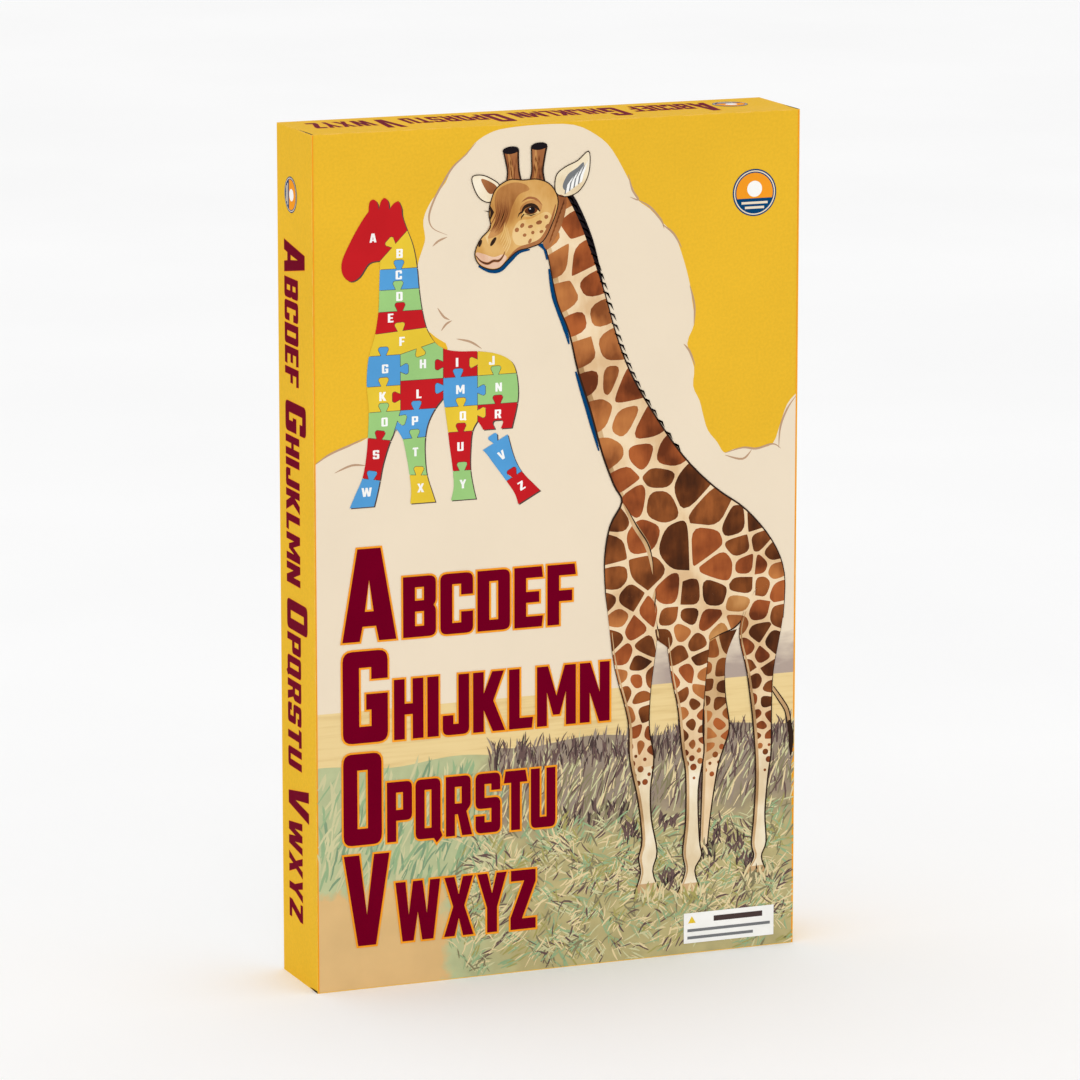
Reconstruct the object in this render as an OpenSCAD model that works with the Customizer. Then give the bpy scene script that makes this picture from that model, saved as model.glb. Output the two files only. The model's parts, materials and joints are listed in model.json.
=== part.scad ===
// Boxed wooden alphabet puzzle: a two-part setup box (a lid that telescopes over a tray) that holds
// a giraffe cut from thick board into 26 interlocking pieces, one for each letter.
// The box stands on its short end. X is its width, Y its depth with the lid's face at -Y, Z its height.
// The origin is the centre of the footprint.

/* [Box] */
// Outside width of the closed box
box_w = 203; // [200:1:230]
// Outside height of the closed box, standing
box_h = 337; // [330:1:370]
// Outside depth of the closed box
box_d = 40; // [32:1:60]
// Thickness of the greyboard
board_t = 1.6; // [1.2:0.1:2.4]
// Thickness of the wrapping paper
paper_t = 0.2; // [0.15:0.05:0.3]
// Width of the paper strip that folds over a rim and down the inside
turn_in = 15; // [8:1:20]
// Length of tray left showing behind the lid's rim
tray_reveal = 1; // [0.5:0.5:6]
// Gap on each side between the tray's wall and the lid's turned-in paper
lid_gap = 0.5; // [0.3:0.1:1.5]
// Gap between the tray's rim and the inside of the lid's face
rim_gap = 0.3; // [0.2:0.1:1]
// Reach of a corner stay along each wall
stay_w = 18; // [10:1:25]
// Thickness of a corner stay
stay_t = 0.15; // [0.1:0.05:0.3]

/* [Puzzle] */
// Thickness of the pieces
piece_t = 15; // [6:1:20]
// Width of the saw cut between two pieces
cut_w = 0.5; // [0.4:0.1:0.8]
// Distance from the cut to the far end of a knob
knob_reach = 8.8; // [8:0.1:9.4]
// Width of a knob's head
knob_w = 11; // [10:0.1:12]
// Radius of the two rounded corners of a knob's head
knob_corner_r = 2.6; // [2:0.1:3]
// Angle at which each side of a knob flares out from its neck
knob_flare = 25; // [20:1:28]
// Gap between the puzzle and the tray around it
puzzle_gap = 0.3; // [0.2:0.1:1]

/* [Hidden] */
$fn = 48;

// Lid and tray sizes, from the outside in
front_y = -box_d / 2;
back_y = box_d / 2;
lid_rim_y = back_y - tray_reveal;
lid_board_in = paper_t + board_t;
lid_paper_in = lid_board_in + paper_t;
tray_out = lid_paper_in + lid_gap;
tray_board_out = tray_out + paper_t;
tray_board_in = tray_board_out + board_t;
tray_paper_in = tray_board_in + paper_t;
tray_floor_y = back_y - paper_t - board_t;
tray_rim_y = front_y + lid_board_in + rim_gap;

// The puzzle stands on its feet on the tray's lower wall, with its back to the tray's floor
feet_z = tray_paper_in + puzzle_gap;
piece_back_y = tray_floor_y - puzzle_gap;

// How far a knob's neck runs back into its own piece
knob_root = 2;

// How far a knob's flaring side passes from the middle of its rounded corner, as a share of the
// corner's radius. A little under 1 makes the side cross the corner cleanly instead of grazing it.
flare_offset = 0.97;

// Outline of the giraffe, facing left with its feet on z = 0: [x, z, 1 on a curve or 0 at a corner]
head_outline = [
    [-54, 249, 0], [-66, 247, 1], [-76, 234, 1], [-86, 230, 1], [-94, 238, 1], [-94, 252, 1],
    [-83, 274, 1], [-73, 290, 1], [-66, 299, 0]];
horns_outline = [
    [-65, 308, 1], [-61, 311, 1], [-57, 308, 1], [-55, 300, 0],
    [-53, 308, 1], [-49, 312, 1], [-45, 308, 1], [-44, 300, 0],
    [-39, 306, 1], [-34, 308, 0], [-31, 301, 1], [-30, 292, 1], [-25, 278, 0]];
back_outline = [
    [-19, 262, 1], [-15, 241, 1], [-13, 219, 1], [-10, 198, 1], [-5, 178, 1], [4, 163, 1],
    [16, 155, 1], [32, 152, 1], [50, 151, 1], [71, 147, 1], [86, 139, 1], [92, 126, 1],
    [94, 106, 1], [92, 90, 1]];
hind_leg_outline = [
    [87, 70, 1], [82, 46, 1], [82, 28, 1], [87, 10, 1], [90, 0, 0],
    [63, 0, 0], [65, 12, 1], [63, 30, 1], [60, 50, 1], [57, 68, 1], [50, 80, 0]];
far_hind_leg_outline = [
    [44, 69, 1], [42, 48, 1], [42, 30, 1], [45, 12, 1], [48, 0, 0],
    [21, 0, 0], [24, 14, 1], [23, 32, 1], [20, 54, 1], [17, 78, 1], [13, 106, 0]];
far_fore_leg_outline = [
    [3, 94, 1], [-4, 80, 1], [-7, 64, 1], [-7, 46, 1], [-5, 28, 1], [0, 12, 1], [4, 0, 0],
    [-23, 0, 0], [-22, 14, 1], [-24, 32, 1], [-27, 50, 1], [-31, 67, 1], [-38, 78, 0]];
fore_leg_outline = [
    [-45, 64, 1], [-52, 43, 1], [-56, 24, 1], [-59, 11, 1], [-62, 0, 0],
    [-88, 0, 0], [-81, 15, 1], [-74, 30, 1], [-70, 50, 1], [-68, 72, 1], [-67, 98, 1],
    [-69, 124, 1], [-67, 150, 1], [-60, 174, 1], [-56, 198, 1], [-55, 220, 1]];
outline = concat(head_outline, horns_outline, back_outline, hind_leg_outline,
    far_hind_leg_outline, far_fore_leg_outline, fore_leg_outline);

// Where the saw cuts run: three upright cuts and the level ones between them
cut_x = [-33, 13, 50];
legs_x = [-43, 8, 54];
level = [70, 96, 126, 153, 197, 219, 240];
chest_z = 122;
edge_x = 120;

// Ends of the slanting cuts
jaw_cut = [[-110, 193], [5, 308]];
shoulder_cut = [[-edge_x, 171], [30, 181]];
withers_cut = [[cut_x[0], level[3]], [30, 170]];
fore_knee_cut = [[-95, 75], [legs_x[0], 66]];
fore_foot_cut = [[-100, 34], [legs_x[0], 24]];
far_foot_cut = [[legs_x[0], 31], [legs_x[1], 27]];

// Each piece: its letter, its colour, and the cell of the outline that it is, anticlockwise.
// A cell's outer sides lie clear of the outline.
pieces = [
    ["A", "red", [jaw_cut[0], jaw_cut[1], [5, 330], [-110, 330]]],
    ["B", "yellow", [[-63, level[6]], [5, level[6]], jaw_cut[1]]],
    ["C", "blue", [[-62, level[5]], [5, level[5]], [5, level[6]], [-62, level[6]]]],
    ["D", "green", [[-62, level[4]], [5, level[4]], [5, level[5]], [-62, level[5]]]],
    ["E", "red", [shoulder_cut[0], shoulder_cut[1], [30, level[4]], [-edge_x, level[4]]]],
    ["F", "yellow", [[-edge_x, level[3]], withers_cut[0], withers_cut[1], shoulder_cut[1], shoulder_cut[0]]],
    ["G", "blue", [[-edge_x, chest_z], [cut_x[0], chest_z], [cut_x[0], level[3]], [-edge_x, level[3]]]],
    ["H", "green", [[cut_x[0], level[2]], [cut_x[1], level[2]], [cut_x[1], 165.4], withers_cut[0]]],
    ["I", "red", [[cut_x[1], level[2]], [cut_x[2], level[2]], [cut_x[2], 175], [cut_x[1], 175]]],
    ["J", "yellow", [[cut_x[2], level[2]], [edge_x, level[2]], [edge_x, 175], [cut_x[2], 175]]],
    ["K", "yellow", [[-edge_x, level[1]], [cut_x[0], level[1]], [cut_x[0], chest_z], [-edge_x, chest_z]]],
    ["L", "red", [[cut_x[0], level[1]], [cut_x[1], level[1]], [cut_x[1], level[2]], [cut_x[0], level[2]]]],
    ["M", "blue", [[cut_x[1], level[1]], [cut_x[2], level[1]], [cut_x[2], level[2]], [cut_x[1], level[2]]]],
    ["N", "green", [[cut_x[2], level[1]], [edge_x, level[1]], [edge_x, level[2]], [cut_x[2], level[2]]]],
    ["O", "green", [fore_knee_cut[0], fore_knee_cut[1], [cut_x[0], level[1]], [-95, level[1]]]],
    ["P", "blue", [[legs_x[0], 66], [legs_x[1], 68], [cut_x[1], level[1]], [cut_x[0], level[1]]]],
    ["Q", "yellow", [[legs_x[1], level[0]], [cut_x[2], level[0]], [cut_x[2], level[1]], [cut_x[1], level[1]]]],
    ["R", "red", [[cut_x[2], level[0]], [edge_x, level[0]], [edge_x, level[1]], [cut_x[2], level[1]]]],
    ["S", "red", [fore_foot_cut[0], fore_foot_cut[1], fore_knee_cut[1], fore_knee_cut[0]]],
    ["T", "green", [far_foot_cut[0], far_foot_cut[1], [legs_x[1], 68], [legs_x[0], 66]]],
    ["U", "red", [[legs_x[1], 30], [legs_x[2], 30], [legs_x[2], level[0]], [legs_x[1], level[0]]]],
    ["V", "blue", [[legs_x[2], 28], [edge_x, 28], [edge_x, level[0]], [legs_x[2], level[0]]]],
    ["W", "blue", [[-100, -5], [legs_x[0], -5], fore_foot_cut[1], fore_foot_cut[0]]],
    ["X", "yellow", [[legs_x[0], -5], [legs_x[1], -5], far_foot_cut[1], far_foot_cut[0]]],
    ["Y", "green", [[legs_x[1], -5], [legs_x[2], -5], [legs_x[2], 30], [legs_x[1], 30]]],
    ["Z", "red", [[legs_x[2], -5], [edge_x, -5], [edge_x, 28], [legs_x[2], 28]]]];

// Each knob: the piece it belongs to, the piece whose socket it fits, its foot on the cut between
// them, and the way it points in degrees, anticlockwise from +X
knobs = [
    ["B", "A", [-39.5, 263.5], 135],
    ["C", "B", [-34, level[6]], 90],
    ["D", "C", [-35, level[5]], 90],
    ["E", "D", [-33, level[4]], 90],
    ["F", "E", on_cut(shoulder_cut, -33), across(shoulder_cut)],
    ["F", "H", on_cut(withers_cut, -13), across(withers_cut) + 180],
    ["G", "F", [-51, level[3]], 90],
    ["G", "H", [cut_x[0], 138], 0],
    ["I", "H", [cut_x[1], 140], 180],
    ["J", "I", [cut_x[2], 140], 180],
    ["K", "G", [-51, chest_z], 90],
    ["L", "K", [cut_x[0], 110], 180],
    ["M", "I", [29, level[2]], 90],
    ["M", "L", [cut_x[1], 116], 180],
    ["M", "N", [cut_x[2], 111], 0],
    ["N", "J", [70, level[2]], 90],
    ["O", "K", [-51, level[1]], 90],
    ["O", "P", [-35.6, 88], -18],
    ["P", "L", [-16, level[1]], 90],
    ["Q", "M", [32, level[1]], 90],
    ["Q", "R", [cut_x[2], 88], 0],
    ["R", "N", [72, level[1]], 90],
    ["S", "O", on_cut(fore_knee_cut, -56), across(fore_knee_cut)],
    ["T", "P", [-18, 67], 90],
    ["U", "Q", [32, level[0]], 90],
    ["V", "R", [72, level[0]], 90],
    ["W", "S", on_cut(fore_foot_cut, -65), across(fore_foot_cut)],
    ["X", "T", on_cut(far_foot_cut, -14), across(far_foot_cut)],
    ["Y", "U", [33, 30], 90],
    ["Z", "V", [73, 28], 90]];

// The point on a slanting cut at this x, and the direction that a knob across it points, upwards
function on_cut(cut, x) =
    [x, cut[0].y + (cut[1].y - cut[0].y) * (x - cut[0].x) / (cut[1].x - cut[0].x)];
function across(cut) = atan2(cut[1].y - cut[0].y, cut[1].x - cut[0].x) + 90;

// A closed path through points marked 1 on a curve or 0 at a corner, with steps points to a span
function curve_point(a, b, c, d, t) =
    (2 * b + (c - a) * t + (2 * a - 5 * b + 4 * c - d) * t ^ 2 + (3 * b - a - 3 * c + d) * t ^ 3) / 2;
function flat_point(p) = [p.x, p.y];
function smooth_path(points, steps = 4) =
    let (n = len(points))
    [for (i = [0 : n - 1])
        let (
            b = points[i],
            c = points[(i + 1) % n],
            a = b[2] == 1 ? points[(i + n - 1) % n] : b,
            d = c[2] == 1 ? points[(i + 2) % n] : c,
            spans = b[2] + c[2] == 0 ? 1 : steps)
        for (k = [0 : spans - 1])
            curve_point(flat_point(a), flat_point(b), flat_point(c), flat_point(d), k / spans)];

// An anticlockwise polygon with every side moved in by a distance
function unit(v) = v / norm(v);
function left_of(v) = [-v.y, v.x];
function inset(points, by) =
    let (n = len(points))
    [for (i = [0 : n - 1])
        let (
            before = left_of(unit(points[i] - points[(i + n - 1) % n])),
            after = left_of(unit(points[(i + 1) % n] - points[i])))
        points[i] + (before + after) * by / (1 + before * after)];

// A knob pointing along +X with its foot on x = 0, larger all round by grow. Its sides flare from
// a narrow neck to two rounded corners.
module knob(grow) {
    corner = [knob_reach - knob_corner_r, knob_w / 2 - knob_corner_r];
    r = knob_corner_r + grow;
    touch = corner + flare_offset * r * [-sin(knob_flare), cos(knob_flare)];
    root = [-knob_root, touch.y - (touch.x + knob_root) * tan(knob_flare)];
    for (side = [-1, 1])
        translate([corner.x, side * corner.y])
            circle(r = r);
    translate([corner.x - r / 2, -corner.y])
        square([1.5 * r, 2 * corner.y]);
    polygon([
        [root.x, -root.y], [touch.x, -touch.y], [corner.x, -corner.y],
        [corner.x, corner.y], [touch.x, touch.y], [root.x, root.y]]);
}

module placed_knob(k, grow) {
    translate(k[2])
        rotate(k[3])
            knob(grow);
}

// A knob's own piece holds it, and the piece it fits has it cut out: the saw cut runs between them
module piece_shape(p) {
    difference() {
        union() {
            intersection() {
                polygon(inset(p[2], cut_w / 2));
                polygon(smooth_path(outline));
            }
            for (k = knobs)
                if (k[0] == p[0])
                    placed_knob(k, -cut_w / 2);
        }
        for (k = knobs)
            if (k[1] == p[0])
                placed_knob(k, cut_w / 2);
    }
}

module puzzle_piece(p) {
    color(p[1])
        translate([0, piece_back_y, feet_z])
            rotate([90, 0, 0])
                linear_extrude(piece_t)
                    piece_shape(p);
}

// A block centred on x = 0 that is smaller than the box by margin on its four sides, from y0 to y1
module centred_block(margin, y0, y1) {
    translate([margin - box_w / 2, y0, margin])
        cube([box_w - 2 * margin, y1 - y0, box_h - 2 * margin]);
}

// Paper tape round the four corners of a wall whose outer face is margin inside the box
module corner_tapes(margin, y0, y1) {
    difference() {
        centred_block(margin, y0, y1);
        centred_block(margin + stay_t, y0 - 1, y1 + 1);
        translate([margin + stay_w - box_w / 2, y0 - 1, -1])
            cube([box_w - 2 * (margin + stay_w), y1 - y0 + 2, box_h + 2]);
        translate([-box_w / 2 - 1, y0 - 1, margin + stay_w])
            cube([box_w + 2, y1 - y0 + 2, box_h - 2 * (margin + stay_w)]);
    }
}

// A ring of paper turned in over a rim and along the inside of a wall
module turned_in_paper(margin, y0, y1) {
    difference() {
        centred_block(margin, y0, y1);
        centred_block(margin + paper_t, y0 - 1, y1 + 1);
    }
}

// Greyboard tray, scored and folded up from one blank
module tray_board() {
    color("gainsboro")
        difference() {
            centred_block(tray_board_out, tray_rim_y + paper_t, back_y - paper_t);
            centred_block(tray_board_in, tray_rim_y - 1, tray_floor_y);
            corner_tapes(tray_board_out, tray_rim_y, back_y);
        }
}

module tray_corner_stays() {
    color("burlywood")
        corner_tapes(tray_board_out, tray_rim_y + paper_t, back_y - paper_t);
}

module tray_wrap() {
    color("white") {
        difference() {
            centred_block(tray_out, tray_rim_y, back_y);
            centred_block(tray_board_out, tray_rim_y + paper_t, back_y - paper_t);
            centred_block(tray_board_in, tray_rim_y - 1, back_y - paper_t);
        }
        turned_in_paper(tray_board_in, tray_rim_y, tray_rim_y + turn_in);
    }
}

// Greyboard lid, scored and folded from one blank
module lid_board() {
    color("gainsboro")
        difference() {
            centred_block(paper_t, front_y + paper_t, lid_rim_y - paper_t);
            centred_block(lid_board_in, front_y + lid_board_in, lid_rim_y + 1);
            corner_tapes(paper_t, front_y, lid_rim_y);
        }
}

module lid_corner_stays() {
    color("burlywood")
        corner_tapes(paper_t, front_y + paper_t, lid_rim_y - paper_t);
}

// Printed paper over the lid's face and walls, folded over the rim and down inside
module lid_wrap() {
    color("gold") {
        difference() {
            centred_block(0, front_y, lid_rim_y);
            centred_block(paper_t, front_y + paper_t, lid_rim_y - paper_t);
            centred_block(lid_board_in, front_y + paper_t, lid_rim_y + 1);
        }
        turned_in_paper(lid_board_in, lid_rim_y - turn_in, lid_rim_y);
    }
}

tray_board();
tray_corner_stays();
tray_wrap();
lid_board();
lid_corner_stays();
lid_wrap();
for (p = pieces)
    puzzle_piece(p);
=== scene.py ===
import json
import math
import random

import bpy
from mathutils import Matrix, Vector
from mathutils.geometry import tessellate_polygon


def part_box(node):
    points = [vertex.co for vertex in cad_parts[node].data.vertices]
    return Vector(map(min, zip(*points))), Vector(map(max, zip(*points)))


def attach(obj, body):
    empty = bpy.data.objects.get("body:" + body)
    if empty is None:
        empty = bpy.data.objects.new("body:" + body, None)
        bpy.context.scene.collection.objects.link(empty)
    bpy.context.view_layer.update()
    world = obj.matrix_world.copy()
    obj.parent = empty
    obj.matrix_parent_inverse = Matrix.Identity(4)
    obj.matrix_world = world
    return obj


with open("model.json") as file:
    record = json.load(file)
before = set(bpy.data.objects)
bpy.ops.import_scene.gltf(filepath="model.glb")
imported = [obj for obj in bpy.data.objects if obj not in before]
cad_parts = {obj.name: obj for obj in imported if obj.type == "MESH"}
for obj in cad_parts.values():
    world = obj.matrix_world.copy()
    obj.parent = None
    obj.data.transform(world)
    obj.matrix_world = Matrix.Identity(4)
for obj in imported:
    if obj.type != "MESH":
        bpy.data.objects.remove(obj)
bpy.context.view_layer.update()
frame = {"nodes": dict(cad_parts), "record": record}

MM = 0.001

# ---- the box, as the CAD gives it
lid_low, lid_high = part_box("lid_wrap")
LETTERS = "ABCDEFGHIJKLMNOPQRSTUVWXYZ"
FACE_W = (lid_high.x - lid_low.x) / MM
FACE_H = (lid_high.z - lid_low.z) / MM
WALL_D = (lid_high.y - lid_low.y) / MM


# ---- camera, floor and light
CAMERA_AZIMUTH = -22
CAMERA_ELEVATION = 11.5
CAMERA_DISTANCE = 2.36
CAMERA_LENS = 200
CAMERA_AIM = Vector((0, 0, 0.1690))
LIGHT_AIM = Vector((0, 0, 0.17))
FLOOR_SIZE = 12
WORLD_STRENGTH = 0.96


def make_camera():
    """A long lens, so that the box's face stays nearly square to the picture."""
    data = bpy.data.cameras.new("camera")
    data.lens = CAMERA_LENS
    data.clip_start = 0.1
    data.clip_end = 200
    camera = bpy.data.objects.new("camera", data)
    bpy.context.scene.collection.objects.link(camera)
    a, e = math.radians(CAMERA_AZIMUTH), math.radians(CAMERA_ELEVATION)
    back = Vector((math.sin(a) * math.cos(e), -math.cos(a) * math.cos(e), math.sin(e)))
    camera.location = CAMERA_AIM + back * CAMERA_DISTANCE
    camera.rotation_mode = "QUATERNION"
    camera.rotation_quaternion = (-back).to_track_quat("-Z", "Y")
    bpy.context.scene.camera = camera


def area_light(name, location, size, watts):
    data = bpy.data.lights.new(name, "AREA")
    data.shape = "RECTANGLE"
    data.size = data.size_y = size
    data.energy = watts
    light = bpy.data.objects.new(name, data)
    light.location = location
    light.rotation_mode = "QUATERNION"
    light.rotation_quaternion = (LIGHT_AIM - Vector(location)).to_track_quat("-Z", "Y")
    bpy.context.scene.collection.objects.link(light)


def make_stage():
    """A plain white floor, a pale surround and two soft lights."""
    corners = [(x, z, 0) for x, z in rectangle(-FLOOR_SIZE, -FLOOR_SIZE, FLOOR_SIZE, FLOOR_SIZE)]
    floor = mesh_object("floor", corners, [(0, 1, 2, 3)])
    floor.data.materials.append(floor_material())
    world = bpy.data.worlds.new("world")
    world.use_nodes = True
    background = world.node_tree.nodes["Background"]
    background.inputs["Color"].default_value = (1, 1, 1, 1)
    background.inputs["Strength"].default_value = WORLD_STRENGTH
    bpy.context.scene.world = world
    area_light("key", (-0.9, -1.9, 1.5), size=1.4, watts=2.8)
    area_light("fill", (1.6, -1.4, 0.9), size=1.6, watts=1.2)


# ---- colour and material helpers
def rgb(red, green, blue):
    """A colour given as 0 to 255 in sRGB, as Blender wants it."""
    linear = [c / 255 / 12.92 if c <= 10 else ((c / 255 + 0.055) / 1.055) ** 2.4 for c in (red, green, blue)]
    return (*linear, 1)


def shade(colour, factor):
    return (*(c * factor for c in colour[:3]), 1)


class Nodes:
    """Short ways to build a material's node tree."""

    def __init__(self, name):
        self.material = bpy.data.materials.new(name)
        self.material.use_nodes = True
        self.tree = self.material.node_tree
        self.shader = self.tree.nodes["Principled BSDF"]
        self.coordinates = self.tree.nodes.new("ShaderNodeTexCoord").outputs["Object"]

    def new(self, kind, **settings):
        node = self.tree.nodes.new(kind)
        for key, value in settings.items():
            setattr(node, key, value)
        return node

    def link(self, output, node_input):
        self.tree.links.new(output, node_input)

    def place(self, texture, stretch, **inputs):
        """A texture node in the object's own space, whose scale is in cycles per metre."""
        mapping = self.new("ShaderNodeMapping")
        mapping.inputs["Scale"].default_value = stretch
        self.link(self.coordinates, mapping.inputs["Vector"])
        self.link(mapping.outputs["Vector"], texture.inputs["Vector"])
        for name, value in inputs.items():
            texture.inputs[name.replace("_", " ")].default_value = value
        return texture.outputs["Fac"]

    def noise(self, scale, detail=3, stretch=(1, 1, 1), roughness=0.5):
        """Noise, 0 to 1."""
        node = self.new("ShaderNodeTexNoise")
        return self.place(node, stretch, Scale=scale, Detail=detail, Roughness=roughness)

    def ramp(self, value, stops):
        """stops are (position, colour)."""
        node = self.new("ShaderNodeValToRGB")
        elements = node.color_ramp.elements
        while len(elements) < len(stops):
            elements.new(0.5)
        for element, (position, colour) in zip(elements, stops):
            element.position = position
            element.color = colour
        self.link(value, node.inputs["Fac"])
        return node.outputs["Color"]

    def mix(self, factor, a, b, blend="MIX"):
        node = self.new("ShaderNodeMix", data_type="RGBA", blend_type=blend)
        for index, setting in ((0, factor), (6, a), (7, b)):
            self.feed(setting, node.inputs[index])
        return node.outputs[2]

    def feed(self, value, socket):
        """A link if value is a node's output, and a set value otherwise."""
        if isinstance(value, bpy.types.NodeSocket):
            self.link(value, socket)
        else:
            socket.default_value = value

    def math(self, operation, a, b=0.0, clamp=False):
        node = self.new("ShaderNodeMath", operation=operation, use_clamp=clamp)
        self.feed(a, node.inputs[0])
        self.feed(b, node.inputs[1])
        return node.outputs[0]

    def map_range(self, value, low, high, to_low=0.0, to_high=1.0):
        node = self.new("ShaderNodeMapRange")
        for setting, socket in zip((value, low, high, to_low, to_high), node.inputs):
            self.feed(setting, socket)
        return node.outputs["Result"]

    def position(self, axis):
        node = self.new("ShaderNodeSeparateXYZ")
        self.link(self.coordinates, node.inputs[0])
        return node.outputs[axis]

    def bump(self, height, strength, distance):
        node = self.new("ShaderNodeBump")
        node.inputs["Strength"].default_value = strength
        node.inputs["Distance"].default_value = distance
        self.link(height, node.inputs["Height"])
        self.link(node.outputs["Normal"], self.shader.inputs["Normal"])

    def uneven_ink(self, colour, variation=0.05, scale=60):
        """A colour that varies a little in strength, as ink or paint does."""
        stops = [(0.3, shade(colour, 1 - variation)), (0.7, shade(colour, 1 + variation))]
        return self.ramp(self.noise(scale, detail=4), stops)

    def printed(self, colour):
        """A print on smooth paper under a thin film: satin, with the paper's faint texture."""
        self.bump(self.noise(2400, detail=2), 0.08, 0.00004)
        roughness = self.map_range(self.noise(35, detail=3), 0.3, 0.7, 0.38, 0.46)
        return self.finish(colour, roughness, specular=0.003)

    def finish(self, colour, roughness, specular):
        self.feed(colour, self.shader.inputs["Base Color"])
        self.feed(roughness, self.shader.inputs["Roughness"])
        self.shader.inputs["Specular IOR Level"].default_value = specular
        return self.material


def floor_material():
    n = Nodes("floor_white")
    colour = n.ramp(n.noise(3), [(0.3, rgb(252, 252, 252)), (0.7, rgb(255, 255, 255))])
    return n.finish(colour, 0.9, specular=0.1)


# ---- palette
INKS = {  # in sRGB
    "yellow": (237, 187, 50), "cream": (238, 222, 197), "crimson": (112, 0, 32), "orange": (246, 156, 38),
    "white": (250, 249, 245), "black": (30, 25, 28), "navy": (8, 66, 112), "grey": (120, 122, 124),
    "cloud_line": (190, 155, 125), "sand": (236, 209, 150), "haze": (180, 162, 150),
    "coat": (236, 207, 166), "coat_shade": (205, 168, 122), "shin": (240, 224, 192),
    "face_tan": (210, 158, 88), "face_light": (226, 184, 114), "face_mid": (180, 122, 68),
    "face_brown": (146, 88, 52), "pink": (226, 182, 152), "patch_dark": (92, 50, 28),
    "patch": (122, 68, 36), "patch_warm": (150, 78, 42), "patch_light": (176, 108, 60),
    "line": (52, 36, 28), "leaf": (154, 180, 136), "leaf_pale": (208, 204, 158),
    "leaf_deep": (132, 158, 124), "straw": (230, 210, 162), "olive": (170, 162, 98), "moss": (138, 130, 98),
    "lilac": (156, 140, 126), "dusk": (108, 86, 82), "shade": (76, 62, 60), "puzzle_red": (196, 32, 38),
    "puzzle_yellow": (231, 197, 58), "puzzle_blue": (86, 158, 214), "puzzle_green": (156, 202, 126),
    "cut_shadow": (84, 70, 66),
}
BRUSHED = {  # the dark and the light tone of each ink that a brush lays on
    "patch_dark": ((62, 36, 24), (132, 74, 38)), "patch": ((82, 44, 26), (160, 92, 48)),
    "patch_warm": ((104, 52, 30), (178, 98, 52)), "patch_light": ((134, 76, 42), (196, 126, 70)),
    "coat": ((222, 186, 142), (243, 220, 184)), "face_tan": ((186, 130, 68), (226, 180, 112)),
    "face_light": ((208, 160, 92), (238, 204, 146)), "face_mid": ((154, 98, 52), (204, 148, 90)),
    "face_brown": ((122, 70, 40), (176, 116, 72)), "pink": ((212, 160, 130), (240, 206, 180)),
    "shin": ((228, 206, 168), (248, 236, 212)), "coat_shade": ((170, 132, 90), (218, 184, 140)),
}
INKS = {name: rgb(*colour) for name, colour in INKS.items()}
ink_materials = {}


def ink(name):
    """Printing ink, a little uneven. Inks in BRUSHED run from a dark tone to a light one in brush marks."""
    if name not in ink_materials:
        n = Nodes("ink_" + name)
        if name in BRUSHED:
            dark, light = (rgb(*tone) for tone in BRUSHED[name])
            wash = n.noise(75, detail=3, roughness=0.4)
            bristles = n.noise(420, detail=2, stretch=(1, 1, 0.3))
            amount = n.math("ADD", n.math("MULTIPLY", wash, 0.8), n.math("MULTIPLY", bristles, 0.2))
            colour = n.ramp(amount, [(0.36, dark), (0.5, INKS[name]), (0.64, light)])
        else:
            colour = n.uneven_ink(INKS[name])
        ink_materials[name] = n.printed(colour)
    return ink_materials[name]


def wrap_material():
    """The lid's yellow wrap: printed and laminated, rubbed paler along its folds."""
    n = Nodes("lid_paper_yellow")
    base = n.uneven_ink(INKS["yellow"], 0.03, 22)
    speckle = n.ramp(n.noise(900, detail=2), [(0.35, rgb(232, 232, 232)), (0.65, rgb(255, 255, 255))])
    base = n.mix(0.3, base, n.mix(1.0, base, speckle, "MULTIPLY"))
    bevel = n.new("ShaderNodeBevel", samples=4)
    bevel.inputs["Radius"].default_value = 0.0006
    geometry = n.new("ShaderNodeNewGeometry")
    turn = n.new("ShaderNodeVectorMath", operation="DOT_PRODUCT")
    n.link(bevel.outputs["Normal"], turn.inputs[0])
    n.link(geometry.outputs["True Normal"], turn.inputs[1])
    edge = n.map_range(turn.outputs["Value"], 0.985, 0.88)
    wear = n.map_range(n.noise(160, detail=4), 0.42, 0.62, 0.15, 0.9)
    worn = n.math("MULTIPLY", edge, wear, clamp=True)
    return n.printed(n.mix(worn, base, rgb(250, 200, 110)))


def sky_material():
    """Cream cloud, with a violet haze low down behind the giraffe."""
    n = Nodes("ink_sky")
    base = n.uneven_ink(INKS["cream"], 0.015, 30)
    ragged = n.math("MULTIPLY", n.noise(120, detail=3, stretch=(1, 1, 3)), 0.016)
    low = n.map_range(n.math("SUBTRACT", n.position("Z"), ragged), 0.122, 0.108)
    right = n.map_range(n.position("X"), 0.024, 0.046)
    return n.printed(n.mix(n.math("MULTIPLY", low, right), base, INKS["haze"]))


def sand_material():
    """A dry plain in flat streaks."""
    n = Nodes("ink_sand")
    streaks = n.noise(60, detail=4, stretch=(0.5, 1, 9))
    colour = n.ramp(streaks, [(0.3, rgb(224, 194, 134)), (0.5, INKS["sand"]), (0.8, rgb(240, 214, 156))])
    return n.printed(colour)


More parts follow.
